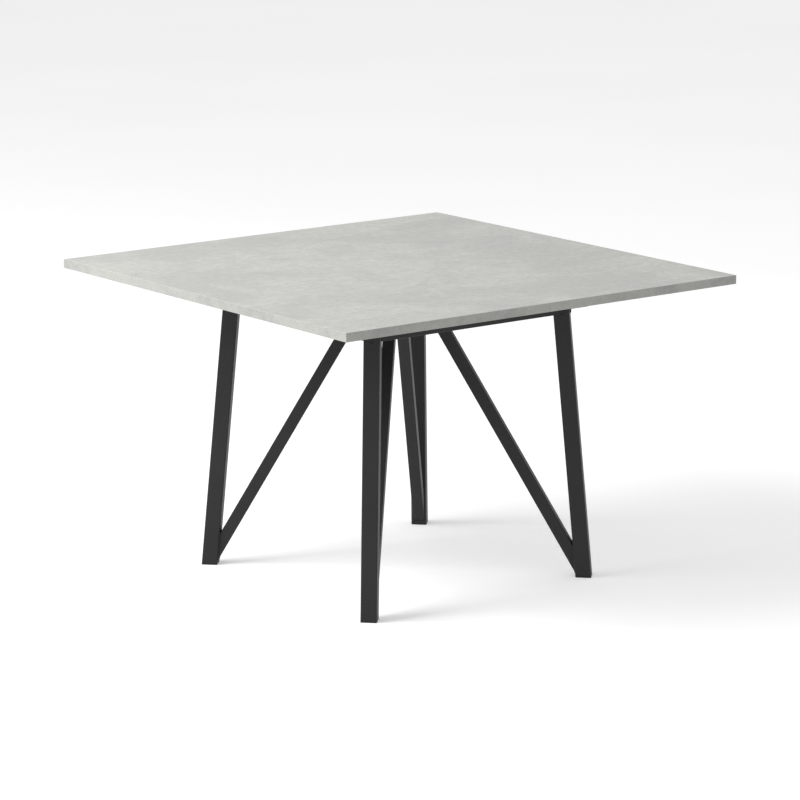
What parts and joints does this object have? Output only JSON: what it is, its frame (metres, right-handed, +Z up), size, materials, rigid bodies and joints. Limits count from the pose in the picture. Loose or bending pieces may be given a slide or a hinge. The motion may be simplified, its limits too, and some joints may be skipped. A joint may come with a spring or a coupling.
{
  "type": "extendable dining table",
  "caption": "Square extendable dining table with a thin concrete-effect top in two sliding halves, splayed V-shaped black tube legs and a folded leaf stored beneath.",
  "frame": {"origin": "on the floor under the middle of the closed top", "axes": "+Z up, the two halves of the top part along X, the joint between them runs along Y"},
  "size_m": [1.2, 1.2, 0.782],
  "materials": {
    "concrete_laminate": "matt concrete-effect laminate on board",
    "black_powder_coat": "fine matt powder coat",
    "black_plastic": "matt",
    "slide_aluminium": "drawn, satin",
    "white_acetal": "moulded, satin",
    "zinc_steel": "zinc plated",
    "beech": "plain"
  },
  "bodies": {
    "base": {"ring_rail_near": "black_powder_coat", "ring_rail_right": "black_powder_coat", "ring_rail_far": "black_powder_coat", "ring_rail_left": "black_powder_coat", "hub_plate": "black_powder_coat", "spoke_near_left": "black_powder_coat", "corner_plate_near_left": "black_powder_coat", "leg_outer_near_left": "black_powder_coat", "leg_inner_near_left": "black_powder_coat", "foot_glide_near_left": "black_plastic", "spoke_near_right": "black_powder_coat", "corner_plate_near_right": "black_powder_coat", "leg_outer_near_right": "black_powder_coat", "leg_inner_near_right": "black_powder_coat", "foot_glide_near_right": "black_plastic", "spoke_far_right": "black_powder_coat", "corner_plate_far_right": "black_powder_coat", "leg_outer_far_right": "black_powder_coat", "leg_inner_far_right": "black_powder_coat", "foot_glide_far_right": "black_plastic", "spoke_far_left": "black_powder_coat", "corner_plate_far_left": "black_powder_coat", "leg_outer_far_left": "black_powder_coat", "leg_inner_far_left": "black_powder_coat", "foot_glide_far_left": "black_plastic", "cross_plate_left": "black_powder_coat", "cross_plate_right": "black_powder_coat", "slide_fixed_near": "slide_aluminium", "pinion_pin_near": "zinc_steel", "leaf_runner_near": "black_powder_coat", "slide_fixed_far": "slide_aluminium", "pinion_pin_far": "zinc_steel", "leaf_runner_far": "black_powder_coat"},
    "left_top": {"top_panel_left": "concrete_laminate", "seam_dowel_1": "beech", "seam_dowel_2": "beech", "seam_dowel_3": "beech", "seam_dowel_4": "beech", "slide_bar_left_near": "slide_aluminium", "rack_left_near": "white_acetal", "latch_pivot_near": "zinc_steel", "slide_bar_left_far": "slide_aluminium", "rack_left_far": "white_acetal", "latch_pivot_far": "zinc_steel"},
    "right_top": {"top_panel_right": "concrete_laminate", "slide_bar_right_near": "slide_aluminium", "rack_right_near": "white_acetal", "latch_keeper_near": "zinc_steel", "slide_bar_right_far": "slide_aluminium", "rack_right_far": "white_acetal", "latch_keeper_far": "zinc_steel"},
    "pinion_gear_near": {"pinion_near": "white_acetal"},
    "pinion_gear_far": {"pinion_far": "white_acetal"},
    "leaf": {"leaf_panel_lower": "concrete_laminate", "leaf_panel_upper": "concrete_laminate", "leaf_hinge_1": "zinc_steel", "leaf_hinge_2": "zinc_steel"},
    "latch_near": {"latch_hook_near": "black_powder_coat"},
    "latch_far": {"latch_hook_far": "black_powder_coat"}
  },
  "joints": [
    {"name": "left_top_slide", "type": "slide", "parent": "base", "child": "left_top", "axis": [-1, 0, 0], "range_m": [0, 0.225]},
    {"name": "right_top_slide", "type": "slide", "parent": "base", "child": "right_top", "axis": [1, 0, 0], "range_m": [0, 0.225]},
    {"name": "pinion_near_spin", "type": "hinge", "parent": "base", "child": "pinion_gear_near", "pos_m": [0, -0.351, 0.74], "axis": [0, 0, 1], "range_deg": [0, 860]},
    {"name": "pinion_far_spin", "type": "hinge", "parent": "base", "child": "pinion_gear_far", "pos_m": [0, 0.351, 0.74], "axis": [0, 0, 1], "range_deg": [-860, 0]},
    {"name": "leaf_store_slide", "type": "slide", "parent": "base", "child": "leaf", "axis": [1, 0, 0], "range_m": [0, 0.4]},
    {"name": "latch_near_turn", "type": "hinge", "parent": "left_top", "child": "latch_near", "pos_m": [-0.045, -0.44, 0.7552], "axis": [0, 0, 1], "range_deg": [0, 90]},
    {"name": "latch_far_turn", "type": "hinge", "parent": "left_top", "child": "latch_far", "pos_m": [-0.045, 0.44, 0.7552], "axis": [0, 0, 1], "range_deg": [-90, 0]}
  ],
  "couplings": [
    {"joint": "right_top_slide", "follows": "left_top_slide", "ratio": 1},
    {"joint": "pinion_near_spin", "follows": "left_top_slide", "rad_per_m": 66.667},
    {"joint": "pinion_far_spin", "follows": "left_top_slide", "rad_per_m": -66.667}
  ]
}
